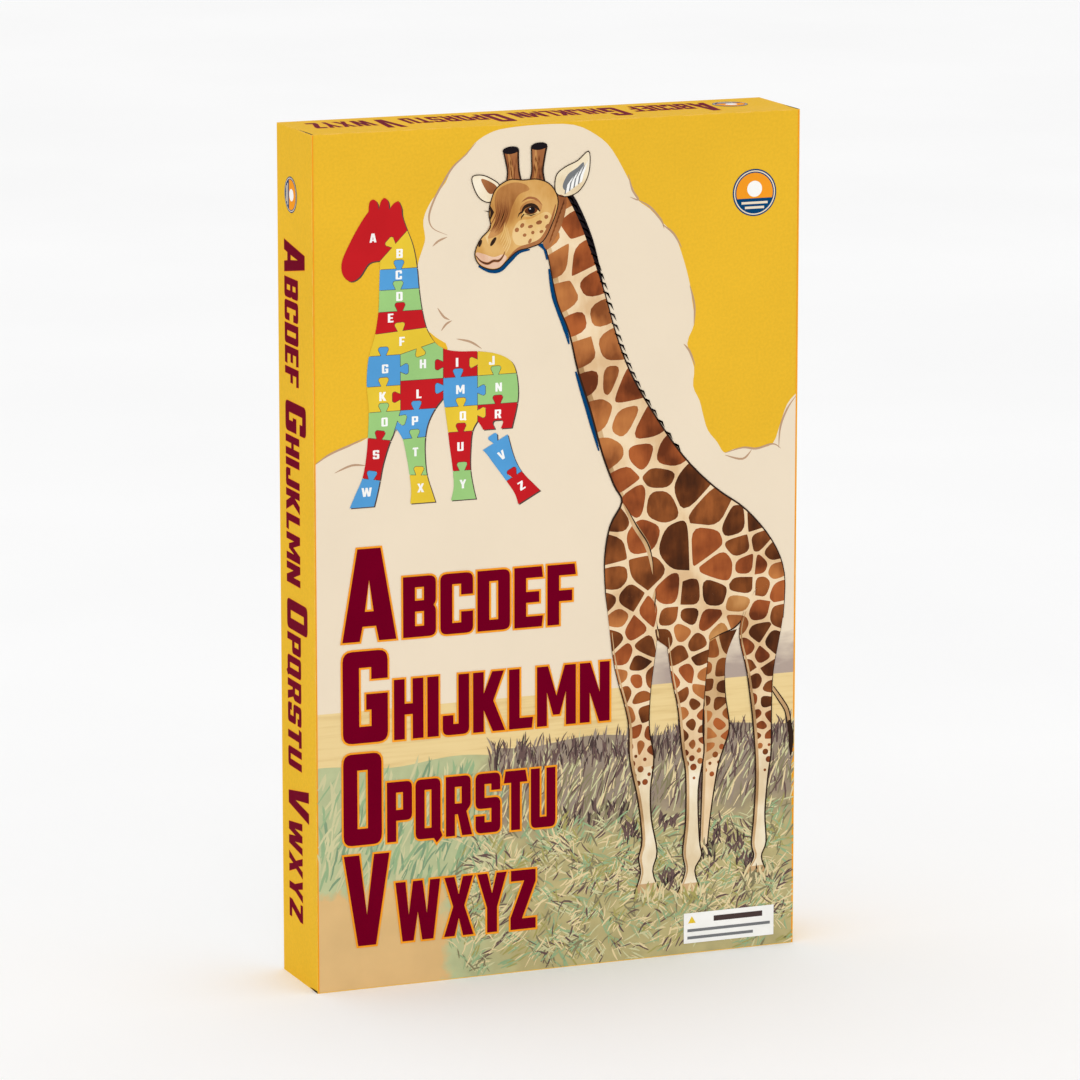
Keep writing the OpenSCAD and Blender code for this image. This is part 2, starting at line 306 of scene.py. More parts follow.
def meadow_material():
    """Painted ground: green at the left, olive at the right, lilac behind, bare earth in the corner."""
    n = Nodes("ink_meadow")
    wash = n.math("MULTIPLY", n.math("SUBTRACT", n.noise(160, detail=4), 0.5), 0.018)
    x = n.math("ADD", n.position("X"), wash)
    z = n.math("ADD", n.position("Z"), wash)
    green = n.uneven_ink(rgb(186, 193, 148), 0.08, 130)
    olive = n.uneven_ink(rgb(188, 176, 126), 0.10, 130)
    lilac = n.uneven_ink(rgb(156, 140, 120), 0.12, 130)
    earth = n.uneven_ink(rgb(223, 186, 129), 0.05, 60)
    ground = n.mix(n.map_range(x, -0.045, -0.015), green, olive)
    back = n.math("MULTIPLY", n.map_range(z, 0.050, 0.064), n.map_range(x, -0.034, -0.024))
    ground = n.mix(back, ground, lilac)
    corner = n.math("MULTIPLY", n.map_range(z, 0.041, 0.037), n.map_range(x, -0.044, -0.050))
    return n.printed(n.mix(corner, ground, earth))


def plain_paper_material():
    n = Nodes("tray_paper_white")
    fibres = n.noise(2200, detail=4, stretch=(1, 1, 0.5))
    colour = n.ramp(fibres, [(0.3, rgb(229, 226, 219)), (0.7, rgb(243, 241, 235))])
    n.bump(n.noise(2600, detail=3), 0.2, 0.00005)
    return n.finish(colour, 0.62, specular=0.3)


def greyboard_material():
    """Board pressed from waste paper: grey, with darker and lighter fibres and flecks of old print."""
    n = Nodes("greyboard")
    cloud = n.noise(90, detail=6, roughness=0.65)
    greys = [(0.3, rgb(176, 171, 161)), (0.55, rgb(192, 187, 176)), (0.75, rgb(204, 198, 187))]
    base = n.ramp(cloud, greys)
    strands = n.noise(1900, detail=3, stretch=(1, 0.3, 1))
    fibres = n.ramp(strands, [(0.3, rgb(212, 212, 212)), (0.7, rgb(255, 255, 255))])
    base = n.mix(0.8, base, n.mix(1.0, base, fibres, "MULTIPLY"))
    base = n.mix(n.map_range(n.noise(700, detail=1), 0.70, 0.76), base, rgb(92, 90, 92))
    base = n.mix(n.map_range(n.noise(820, detail=1), 0.71, 0.77), base, rgb(214, 209, 198))
    n.bump(n.noise(1300, detail=4), 0.35, 0.0001)
    return n.finish(base, 0.92, specular=0.2)


def stay_tape_material():
    n = Nodes("stay_tape_kraft")
    strands = n.noise(1500, detail=3, stretch=(1, 0.2, 1))
    colour = n.ramp(strands, [(0.3, rgb(164, 124, 82)), (0.7, rgb(194, 154, 108))])
    n.bump(n.noise(1700, detail=3), 0.25, 0.00005)
    return n.finish(colour, 0.7, specular=0.3)


def painted_wood_material(name, colour):
    """A sawn wooden piece: satin paint on its face, bare sanded wood with grain on its sides and back."""
    n = Nodes(name)
    wave = n.new("ShaderNodeTexWave", wave_type="BANDS", bands_direction="X", wave_profile="SIN")
    rings = n.place(wave, (1, 0.9, 0.12), Scale=55, Distortion=5, Detail=3, Detail_Scale=1.2)
    bands = [(0.1, rgb(206, 168, 118)), (0.55, rgb(226, 194, 148)), (0.9, rgb(233, 206, 164))]
    grain = n.ramp(rings, bands)
    long_pores = n.noise(1500, detail=3, stretch=(1, 1, 0.06))
    pores = n.ramp(long_pores, [(0.36, rgb(196, 170, 140)), (0.52, rgb(255, 255, 255))])
    wood = n.mix(0.7, grain, n.mix(1.0, grain, pores, "MULTIPLY"))
    paint = n.uneven_ink(colour, 0.06, 120)
    geometry = n.new("ShaderNodeNewGeometry")
    facing = n.new("ShaderNodeSeparateXYZ")
    n.link(geometry.outputs["Normal"], facing.inputs[0])
    fuzz = n.map_range(n.noise(1800, detail=2), 0.3, 0.7, -0.12, 0.12)
    painted = n.map_range(n.math("ADD", facing.outputs["Y"], fuzz), -0.62, -0.74)
    n.bump(n.noise(900, detail=3, stretch=(1, 1, 0.15)), 0.12, 0.00006)
    roughness = n.map_range(painted, 0, 1, 0.62, 0.42)
    return n.finish(n.mix(painted, wood, paint), roughness, specular=0.06)


# ---- shape helpers, in millimetres
def mesh_object(name, vertices, faces, slots=None):
    mesh = bpy.data.meshes.new(name)
    mesh.from_pydata([tuple(v) for v in vertices], [], [tuple(f) for f in faces])
    if slots:
        mesh.polygons.foreach_set("material_index", slots)
    obj = bpy.data.objects.new(name, mesh)
    bpy.context.scene.collection.objects.link(obj)
    return obj


def area_of(loop):
    return sum(a[0] * b[1] - b[0] * a[1] for a, b in zip(loop, loop[1:] + loop[:1])) / 2


def curve_point(a, b, c, d, t):
    """A point between b and c on a Catmull-Rom curve."""
    return tuple(
        (2 * b[i] + (c[i] - a[i]) * t + (2 * a[i] - 5 * b[i] + 4 * c[i] - d[i]) * t * t
         + (3 * b[i] - a[i] - 3 * c[i] + d[i]) * t ** 3) / 2
        for i in (0, 1))


def smooth_line(points, steps=5):
    """An open curve through the points."""
    result = []
    last = len(points) - 1
    for i in range(last):
        a, b, c, d = points[max(i - 1, 0)], points[i], points[i + 1], points[min(i + 2, last)]
        result += [curve_point(a, b, c, d, k / steps) for k in range(steps)]
    return result + [tuple(points[-1])]


def smooth_loop(points, steps=5):
    """A closed curve through the points."""
    count = len(points)
    return [curve_point(points[i - 1], points[i], points[(i + 1) % count], points[(i + 2) % count], k / steps)
            for i in range(count) for k in range(steps)]


def ellipse(x, z, width, height, angle=0, sides=20):
    c, s = math.cos(math.radians(angle)), math.sin(math.radians(angle))
    result = []
    for k in range(sides):
        a = math.tau * k / sides
        u, v = width / 2 * math.cos(a), height / 2 * math.sin(a)
        result.append((x + u * c - v * s, z + u * s + v * c))
    return result


def rectangle(x0, z0, x1, z1):
    return [(x0, z0), (x1, z0), (x1, z1), (x0, z1)]


def stroke(points, width, start=0.0, end=0.0):
    """A pen stroke along an open line: full width in its middle, start and end times that at its ends."""
    left, right = [], []
    last = len(points) - 1
    for i, p in enumerate(points):
        before, after = points[max(i - 1, 0)], points[min(i + 1, last)]
        along = Vector((after[0] - before[0], after[1] - before[1])).normalized()
        t = i / last
        share = start + (1 - start) * min(1, t * 3) if t < 0.5 else end + (1 - end) * min(1, (1 - t) * 3)
        half = width / 2 * max(share, 0.03)
        left.append((p[0] - along.y * half, p[1] + along.x * half))
        right.append((p[0] + along.y * half, p[1] - along.x * half))
    return left + right[::-1]


def border(loop, width):
    """A band of that width along a closed loop, centred on it, as four-sided loops."""
    inner, outer = [], []
    count = len(loop)
    for i in range(count):
        p = Vector(loop[i])
        before = (p - Vector(loop[i - 1])).normalized()
        after = (Vector(loop[(i + 1) % count]) - p).normalized()
        n1, n2 = Vector((-before.y, before.x)), Vector((-after.y, after.x))
        mitre = (n1 + n2) / max(1 + n1.dot(n2), 0.35)
        inner.append(tuple(p + mitre * width / 2))
        outer.append(tuple(p - mitre * width / 2))
    return [[outer[i], outer[(i + 1) % count], inner[(i + 1) % count], inner[i]] for i in range(count)]


def placed(loop, dx, dz, scale=1.0, angle=0.0, pivot=(0, 0)):
    """A loop turned about a pivot, scaled about the origin and then moved."""
    c, s = math.cos(math.radians(angle)), math.sin(math.radians(angle))
    result = []
    for x, z in loop:
        u, v = x - pivot[0], z - pivot[1]
        result.append(((u * c - v * s + pivot[0]) * scale + dx, (u * s + v * c + pivot[1]) * scale + dz))
    return result


def cut(loop, point, outward):
    """The part of a loop behind a line through point."""
    kept = []
    for p, q in zip(loop, loop[1:] + loop[:1]):
        side_p = (p[0] - point[0]) * outward[0] + (p[1] - point[1]) * outward[1]
        side_q = (q[0] - point[0]) * outward[0] + (q[1] - point[1]) * outward[1]
        if side_p <= 0:
            kept.append(p)
        if (side_p <= 0) != (side_q <= 0):
            t = side_p / (side_p - side_q)
            kept.append((p[0] + (q[0] - p[0]) * t, p[1] + (q[1] - p[1]) * t))
    return kept


def inside(loop, cell):
    """The part of a loop inside a convex anticlockwise cell."""
    for a, b in zip(cell, cell[1:] + cell[:1]):
        if len(loop) >= 3:
            loop = cut(loop, a, (b[1] - a[1], a[0] - b[0]))
    return loop


def rounded(loop, times=2):
    """Each corner cut off, and again."""
    for _ in range(times):
        loop = [(a[0] + (b[0] - a[0]) * t, a[1] + (b[1] - a[1]) * t)
                for a, b in zip(loop, loop[1:] + loop[:1]) for t in (0.22, 0.78)]
    return loop


def contains(loop, x, z):
    hit = False
    for a, b in zip(loop, loop[1:] + loop[:1]):
        if (a[1] > z) != (b[1] > z) and x < a[0] + (b[0] - a[0]) * (z - a[1]) / (b[1] - a[1]):
            hit = not hit
    return hit


# ---- printing on flat faces
LAYER = 0.02  # how far one level of ink lies above the one under it
SMALLEST_AREA = 1e-6


class Face:
    """A flat face to print on. Its own x and z run along it, in millimetres, from its origin."""

    def __init__(self, origin, right, up):
        self.origin = Vector(origin)
        self.right = Vector(right)
        self.up = Vector(up)
        self.normal = self.right.cross(self.up)

    def point(self, x, z, level):
        return self.origin + (self.right * x + self.up * z + self.normal * level * LAYER) * MM


class Print:
    """The ink shapes of one flat piece. A shape is a loop, or a list of an outline and then its holes.
    Levels count from base, and shapes of different inks that overlap need different levels."""

    def __init__(self, name, face, body="lid", slot="lid_paper", seed=0):
        self.name, self.face, self.body, self.slot = name, face, body, slot
        self.vertices, self.triangles, self.slots, self.materials = [], [], [], []
        self.base = 0
        self.rng = random.Random(seed)

    def add(self, level, material, *shapes):
        """Adds shapes in one ink."""
        if isinstance(material, str):
            material = ink(material)
        if material not in self.materials:
            self.materials.append(material)
        index = self.materials.index(material)
        for shape in shapes:
            loops = shape if isinstance(shape[0][0], (tuple, list)) else [shape]
            start = len(self.vertices)
            flat = [p for loop in loops for p in loop]
            self.vertices += [self.face.point(x, z, self.base + level) for x, z in flat]
            for tri in tessellate_polygon([[Vector((x, z, 0)) for x, z in loop] for loop in loops]):
                area = area_of([flat[i] for i in tri])
                if abs(area) > SMALLEST_AREA:
                    self.triangles.append([start + i for i in (tri if area > 0 else tri[::-1])])
                    self.slots.append(index)

    def blob(self, level, material, points):
        """A smooth shape."""
        self.add(level, material, smooth_loop(points, 4))

    def oval(self, level, material, *measures):
        self.add(level, material, ellipse(*measures))

    def dash(self, level, material, points, *widths):
        """A pen stroke with corners."""
        self.add(level, material, stroke(points, *widths))

    def pen(self, level, material, points, *widths):
        """A smooth pen stroke."""
        self.dash(level, material, smooth_line(points), *widths)

    def blades(self, level, count, area, length, width, lean, spread, colours):
        """Brush strokes of grass, rooted in an area. Angles are degrees from upright, to the right."""
        x0, z0, x1, z1 = area
        for _ in range(count):
            x, z = self.rng.uniform(x0, x1), self.rng.uniform(z0, z1)
            angle = math.radians(lean + self.rng.uniform(-spread, spread))
            bend = self.rng.uniform(-0.35, 0.35)
            size = self.rng.uniform(*length)
            path = [(x + math.sin(angle + bend * t) * size * t, z + math.cos(angle + bend * t) * size * t)
                    for t in (0, 0.35, 0.7, 1)]
            blade = inside(stroke(path, self.rng.uniform(*width), 0.5, 0.0), PAGE)
            lift = self.rng.uniform(0, 0.9)
            colour = self.rng.choice(colours)
            if len(blade) > 2:
                self.add(level + lift, colour, blade)

    def done(self):
        obj = mesh_object(self.name, self.vertices, self.triangles, self.slots)
        for material in self.materials:
            obj.data.materials.append(material)
        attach(obj, self.body)


MIDDLE_Y = (lid_low.y + lid_high.y) / 2
MIDDLE_Z = (lid_low.z + lid_high.z) / 2
FRONT = Face((0, lid_low.y, lid_low.z), (1, 0, 0), (0, 0, 1))
LEFT = Face((lid_low.x, MIDDLE_Y, MIDDLE_Z), (0, 0, -1), (0, -1, 0))
RIGHT = Face((lid_high.x, MIDDLE_Y, MIDDLE_Z), (0, 0, 1), (0, -1, 0))
TOP = Face((0, MIDDLE_Y, lid_high.z), (-1, 0, 0), (0, -1, 0))
MARGIN = 0.3  # how far the picture stops short of the folds
EDGE = FACE_W / 2 - MARGIN
PAGE = rectangle(-EDGE, MARGIN, EDGE, FACE_H - MARGIN)

# Levels of the picture, from the paper outwards. What is drawn on a thing takes up to two levels more.
SKY = 1
GROUND = 2
GRASS = 3
PUZZLE = 6
FAR_LEG = 8
TITLE = 9
RIM = 11
BODY = 12
NEAR_LEG = 14
HEAD = 15
FOOT_GRASS = 17
NOTICE = 18


# ---- block lettering
STEM = 19  # in hundredths of a capital's height
BAR = 18
WIDE = 52
INNER = WIDE - STEM
UPPER = 100 - BAR
ROUND = 11
HOLE = rectangle(STEM, BAR, INNER, UPPER)
BOTTOM = [(0, 0, ROUND), (WIDE, 0, ROUND)]
TOP_END = [(WIDE, 100, ROUND), (0, 100, ROUND)]
LETTER_GAP = 0.07  # as a share of the height
WORD_SPACE = 0.35


def mirrored(width, half):
    """A symmetrical capital's outline from its left half, which runs from the top down."""
    right = [(width - p[0], *p[1:]) for p in reversed(half) if p[0] < width / 2]
    return half + right


# Each capital's width, its outline, then its holes. A point's third number is how far from it the corner
# begins to curve.
CAPITALS = {
    "A": (56, mirrored(56, [(16, 100), (0, 0), (18, 0), (21, 16)]), [(23.5, 32), (32.5, 32), (28, 66)]),
    "B": (WIDE, [(0, 0), (WIDE, 0, ROUND), (WIDE, 47, 6), (48, 51), (WIDE, 55, 6), (WIDE, 100, ROUND),
        (0, 100)], rectangle(STEM, BAR, INNER, 42), rectangle(STEM, 60, INNER, UPPER)),
    "C": (WIDE, [*BOTTOM, (WIDE, 36), (INNER, 36), (INNER, BAR), (STEM, BAR), (STEM, UPPER), (INNER, UPPER),
        (INNER, 64), (WIDE, 64), *TOP_END]),
    "D": (WIDE, [(0, 0), (WIDE, 0, ROUND), (WIDE, 100, ROUND), (0, 100)], HOLE),
    "E": (46, [(0, 0), (44, 0), (46, BAR), (STEM, BAR), (STEM, 41), (40, 41), (40, 59), (STEM, 59),
        (STEM, UPPER), (46, UPPER), (44, 100), (0, 100)]),
    "F": (46, [(0, 0), (STEM, 0), (STEM, 39), (40, 39), (40, 57), (STEM, 57), (STEM, UPPER), (46, UPPER),
        (44, 100), (0, 100)]),
    "G": (WIDE, [*BOTTOM, (WIDE, 53), (27, 53), (27, 36), (INNER, 36), (INNER, BAR), (STEM, BAR),
        (STEM, UPPER), (INNER, UPPER), (INNER, 69), (WIDE, 69), *TOP_END]),
    "H": (WIDE, mirrored(WIDE, [(STEM, 59), (STEM, 100), (0, 100), (0, 0), (STEM, 0), (STEM, 41)])),
    "I": (20, rectangle(0, 0, 20, 100)),
    "J": (47, [(0, 0, ROUND), (47, 0, ROUND), (47, 100), (28, 100), (28, BAR), (STEM, BAR), (STEM, 33),
        (0, 33)]),
    "K": (57, [(0, 0), (STEM, 0), (STEM, 36), (35, 0), (57, 0), (36, 51), (55, 100), (34, 100), (STEM, 64),
        (STEM, 100), (0, 100)]),
    "L": (43, [(0, 0), (41, 0), (43, BAR), (STEM, BAR), (STEM, 100), (0, 100)]),
    "M": (70, mirrored(70, [(35, 50), (20, 100), (0, 100), (0, 0), (18, 0), (18, 56), (29, BAR)])),
    "N": (54, [(0, 0), (18, 0), (18, 50), (35, 0), (54, 0), (54, 100), (36, 100), (36, 50), (19, 100),
        (0, 100)]),
    "O": (WIDE, BOTTOM + TOP_END, HOLE),
    "P": (WIDE, [(0, 0), (STEM, 0), (STEM, 35), (WIDE, 35, ROUND), (WIDE, 100, ROUND), (0, 100)],
        rectangle(STEM, 53, INNER, UPPER)),
    "Q": (56, [(0, 0, ROUND), (38, 0), (44, -8), (56, 3), (WIDE, 12), *TOP_END], HOLE),
    "R": (55, [(0, 0), (STEM, 0), (STEM, 36), (25, 36), (34, 0), (55, 0), (43, 40), (WIDE, 50, 5),
        (WIDE, 100, ROUND), (0, 100)], rectangle(STEM, 54, INNER, UPPER)),
    "S": (WIDE, [*BOTTOM, (WIDE, 59, ROUND), (STEM, 59), (STEM, UPPER), (INNER, UPPER), (INNER, 71),
        (WIDE, 71), *TOP_END, (0, 41, ROUND), (INNER, 41), (INNER, BAR), (STEM, BAR), (STEM, 29), (0, 29)]),
    "T": (50, mirrored(50, [(4, 100), (0, 80), (15.5, 80), (15.5, 0)])),
    "U": (WIDE, mirrored(WIDE, [(STEM, BAR), (STEM, 100), (0, 100), (0, 0, ROUND)])),
    "V": (56, mirrored(56, [(28, 34), (19, 100), (0, 100), (17, 0)])),
    "W": (84, mirrored(84, [(33, 100), (25, 44), (19, 100), (0, 100), (13, 0), (34, 0), (42, 48)])),
    "X": (56, mirrored(56, [(28, 70), (20, 100), (1, 100), (17.5, 50), (0, 0), (20, 0), (28, 30)])),
    "Y": (56, mirrored(56, [(28, 66), (19, 100), (0, 100), (18.5, 42), (18.5, 0)])),
    "Z": (48, [(0, 0), (48, 0), (48, BAR), (22, BAR), (48, 80), (48, 100), (1, 100), (1, UPPER),
        (26, UPPER), (0, 20)]),
}


def round_corners(loop, steps=4):
    """Replaces each corner that has a radius by a short curve."""
    result = []
    for i, p in enumerate(loop):
        if len(p) == 2:
            result.append(p)
            continue
        corner = Vector(p[:2])
        start = corner + (Vector(loop[i - 1][:2]) - corner).normalized() * p[2]
        end = corner + (Vector(loop[(i + 1) % len(loop)][:2]) - corner).normalized() * p[2]
        for k in range(steps + 1):
            t = k / steps
            result.append(tuple((1 - t) ** 2 * start + 2 * t * (1 - t) * corner + t * t * end))
    return result


def capital(c, height):
    """The width of a capital and its loops."""
    width, *loops = CAPITALS[c]
    scale = height / 100
    return width * scale, [[(x * scale, z * scale) for x, z in round_corners(loop)] for loop in loops]


def set_words(words, x, z, height, tall, length):
    """Block capitals from (x, z), stretched to a length. Each word's first letter is taller."""
    letters = []
    at = 0.0
    for word in words:
        for i, c in enumerate(word):
            size = height if i else tall
            width, loops = capital(c, size)
            letters.append([[(at + px, pz) for px, pz in loop] for loop in loops])
            at += width + LETTER_GAP * size
        at += WORD_SPACE * height
    stretch = length / (at - (WORD_SPACE + LETTER_GAP) * height)
    return [[[(x + px * stretch, z + pz) for px, pz in loop] for loop in loops] for loops in letters]


def print_words(name, face, level, letters, outline):
    """Crimson letters with an orange line round them."""
    art = Print(name, face)
    for letter in letters:
        for loop in letter:
            art.add(level, "orange", *border(loop, outline * 2))
    art.add(level + 1, "crimson", *letters)
    art.done()


# ---- the picture: sky and ground
HORIZON = 111.5
GRASS_TOP = 90.5
CLOUD = [(101.2, 224.5), (97, 220), (94, 212), (91, 204.8), (85, 203.4), (79.6, 204.2), (74, 203.6),
    (70, 202.6), (67, 207), (63, 212), (61, 218), (59.4, 224), (56.6, 230), (57, 237.5), (54, 247),
    (57, 255), (56, 264), (55, 270.5), (52.4, 280), (48.5, 290), (42.7, 296), (38, 301), (33, 304.7),
    (31, 309), (29, 313), (22, 325), (15.5, 331), (6, 335.5), (-8, 336.3), (-22, 335.6), (-29, 334),
    (-35, 330.5), (-38.5, 326), (-44.2, 322), (-47, 316), (-53, 309), (-56.2, 302), (-55.5, 295),
    (-56.5, 291), (-58.5, 285), (-59, 277), (-58, 268), (-55.8, 260.6), (-51, 256), (-46.4, 251.6),
    (-52, 240), (-63, 228), (-79, 219), (-87, 216), (-95, 213), (-101.2, 209.5)]
CLOUD_STROKES = [
    [(-34.5, 330.7), (-39, 326), (-44.2, 321.5), (-48.6, 315), (-52, 309), (-53.9, 303), (-52.3, 298.5),
     (-46.4, 295.6)],
    [(-46.5, 294.8), (-50, 293.5), (-52.5, 291.5)], [(-50.5, 267.5), (-48, 264), (-45.5, 262.6)],
    [(-49, 258.6), (-47, 261), (-44.6, 262.3)], [(-42.7, 255), (-37, 253.5), (-32.3, 250.5)],
    [(28.8, 315), (30.5, 309), (33, 305), (29.5, 306.2)],
    [(33, 304.8), (38, 301.8), (42.7, 296.4), (44, 293)], [(43.5, 294.5), (48, 290.8), (51.5, 285)],
    [(55, 270), (57, 262), (56.8, 254)], [(52.5, 247), (55, 244), (57.5, 238)],
    [(70.5, 202.4), (78, 204), (84, 203.2), (91, 204.6), (94.5, 202.5)],
    [(70.5, 201.5), (78, 199.5), (82, 203)], [(93.6, 203), (94.2, 211), (97, 218), (101, 223.4)],
    [(-101, 209.8), (-95, 213.4), (-87, 216.3), (-80, 219)], [(-93, 206), (-86, 208.5), (-80, 208)],
]
TUFTS = [(31, 50), (46, 54), (47, 30), (62, 41), (70, 46), (76, 42), (80, 34)]


def print_sky():
    art = Print("print_sky", FRONT)
    outline = smooth_line(CLOUD, 3) + [(-EDGE, HORIZON), (EDGE, HORIZON)]
    art.add(SKY, sky_material(), [(min(max(x, -EDGE), EDGE), z) for x, z in outline])
    art.add(SKY, sand_material(), rectangle(-EDGE, GRASS_TOP - 4, EDGE, HORIZON))
    for line in CLOUD_STROKES:
        art.pen(SKY + 1, "cloud_line", line, 0.8, 0.2, 0.1)
    art.done()


def print_ground():
    art = Print("print_ground", FRONT)
    top = [(x, GRASS_TOP + 1.2 * math.sin(x / 9) + (1.5 if x > -29 else -1.5)) for x in range(-101, 102, 3)]
    art.add(GROUND, meadow_material(), top + [(EDGE, MARGIN), (-EDGE, MARGIN)])
    art.done()


def print_grass():
    """Meadow at the left, dry grass and its dark fringe at the back, then tangled tufts in front."""
    art = Print("print_grass", FRONT, seed=11)
    art.base = GRASS
    green = ["leaf", "leaf_pale", "leaf_deep", "leaf_pale"]
    dry = ["lilac", "straw", "moss", "dusk", "leaf_pale"]
    art.blades(0, 420, (-101, 38, -26, 82), (6, 12), (0.6, 1.3), 22, 14, green)
    art.blades(0, 620, (-27, 58, 101, 84), (7, 14), (0.4, 0.9), 20, 16, dry)
    art.blades(1, 520, (-29, 80, 101, 90), (4, 8), (0.35, 0.8), 2, 12, ["dusk", "dusk", "lilac", "shade"])
    art.blades(1, 90, (-5, 56, 30, 63), (3, 6), (0.5, 1.1), 4, 12, ["shade", "dusk", "moss"])
    mixes = [["straw", "olive", "leaf"], ["leaf_pale", "moss", "leaf"], ["leaf_pale", "straw", "dusk"]]
    for _ in range(300):
        x, z = art.rng.uniform(-42, 99), art.rng.uniform(0, 58)
        lean = art.rng.choice([-62, -35, 30, 55, 70])
        mix = art.rng.choice(mixes)
        art.blades(2, 9, (x - 5, z - 3, x + 5, z + 3), (4, 7), (0.35, 0.8), lean, 6, mix)
    art.blades(2, 160, (-46, 4, 101, 50), (5, 9), (0.4, 0.8), 20, 45, ["moss", "straw", "olive", "leaf"])
    art.blades(3, 60, (-44, 6, 100, 52), (3, 6), (0.4, 0.8), 0, 50, ["dusk", "moss"])
    for x, z in TUFTS:
        area = (x - 3.5, z - 3, x + 3.5, z + 3)
        art.blades(3, 16, area, (3, 5.5), (0.6, 1.2), 5, 30, ["shade", "dusk", "dusk"])
    art.done()


# ---- the picture: giraffe
NECK_LEFT = [(-7, 292), (-4.6, 284), (-1, 267), (3.9, 255), (7.8, 239), (12.8, 224), (18, 206), (23, 193),
    (26.4, 186)]
NECK_RIGHT = [(2.6, 309), (9, 297.5), (13.9, 284), (19, 269), (24, 252), (30, 237), (39, 221.5),
    (52.4, 202.5), (66, 189)]
CHEST = [(21.5, 177), (19.2, 165), (19.4, 152), (20.6, 142), (23.3, 124)]
RUMP = [(79.6, 179), (91, 165.6), (96.4, 152), (96, 134)]
BELLY = [(92, 140), (84.5, 147), (80, 137), (75, 131.6), (69, 129.4), (62, 126), (50, 124), (44, 127.6),
    (40, 129), (30, 122)]
LEGS = {  # the left and the right side of each leg
    "far_hind": (
        [(60, 128), (61, 110), (62, 95), (61.5, 78), (61, 60), (60.5, 43)],
        [(76, 131), (71.4, 120), (71.1, 106), (73, 91.5), (70.5, 83), (68, 75), (65.1, 57), (63.4, 41)]),
    "hind": (
        [(84.5, 147), (79, 138), (77, 128), (80.4, 113), (83.3, 91.5), (84.5, 72), (83.9, 55), (82.9, 43),
         (83.9, 37), (79.6, 30.6)],
        [(96.4, 150), (95.8, 134), (91.9, 113), (91.2, 96), (91.2, 80), (89.9, 70), (88.7, 55), (89.3, 43),
         (87.3, 37), (89.6, 30.8)]),
    "front_left": (
        [(19.6, 150), (21.4, 134), (23.6, 119), (29.2, 98), (30, 82), (33.6, 65), (35.4, 49), (34, 41.5),
         (34.8, 35), (32.2, 27)],
        [(40, 146), (41.6, 131), (39, 110), (38.4, 94), (40.4, 82), (39, 69), (39.4, 57), (41.9, 43.5),
         (40.1, 35.5), (43.2, 27)]),
    "front_right": (
        [(45, 146), (45.6, 130), (48, 113), (50.6, 101), (52.4, 84), (54.1, 74), (54.2, 55), (53, 42),
         (54.1, 34), (50.6, 25)],
        [(66, 146), (64.2, 128), (62.6, 111), (61.4, 94), (62, 82), (59.6, 67), (60.2, 47), (61.2, 40),
         (58.3, 34), (61.2, 25)]),
}
HOOF = {"far_hind": 0, "hind": 3.5, "front_left": 4.5, "front_right": 4.5}  # how high each hoof reaches
NECK_END = 200  # heights at which the coat changes
LEG_TOP = 118
KNEE_TOP = 100
KNEE = 84
SHIN_TOP = 82
TRIES = 2500  # places tried for a new patch
PATCH_INKS = ["patch_dark", "patch", "patch", "patch_warm", "patch_warm", "patch_light"]
NECK_INKS = ["patch_warm", "patch_warm", "patch_light", "patch_light"]
KNEE_INKS = ["patch_warm", "patch_warm", "patch_light", "patch"]
BELLY_INKS = ["patch_light", "face_mid", "coat_shade"]
TAIL = [(91.5, 106), (95, 101), (98, 96), (99.4, 89)]
TAIL_HAIR = [(99, 92), (99.8, 86), (99.9, 77)]
MANE = [(-1.6, 311.6), (3.6, 309), (9.6, 298), (14.6, 284.6), (18.4, 271)]
BELLY_LINE = [(63, 127), (69, 129.6), (75, 131.8), (80, 137), (82.5, 142)]
FOLDS = [[(26.4, 186), (32, 176), (37.5, 167), (39.6, 156)], [(40.6, 150), (39.8, 140), (42.4, 130)]]
RIMS = [  # blue strokes behind the jaw and the neck
    [(-33.6, 282.8), (-29, 280.6), (-24.6, 280.9), (-21, 284), (-17, 287.2), (-12.4, 288)],
    [(-9.6, 290.4), (-6, 288), (-5.2, 283.6)], [(-4.4, 280), (-2.4, 269), (2.4, 256), (4, 250)],
    [(6.8, 239), (11.4, 225), (16.6, 207)],
]
FOOT_TUFTS = [((32, 21, 45, 27), "olive"), ((50, 19, 62, 25), "olive"), ((78, 25, 91, 30), "moss")]

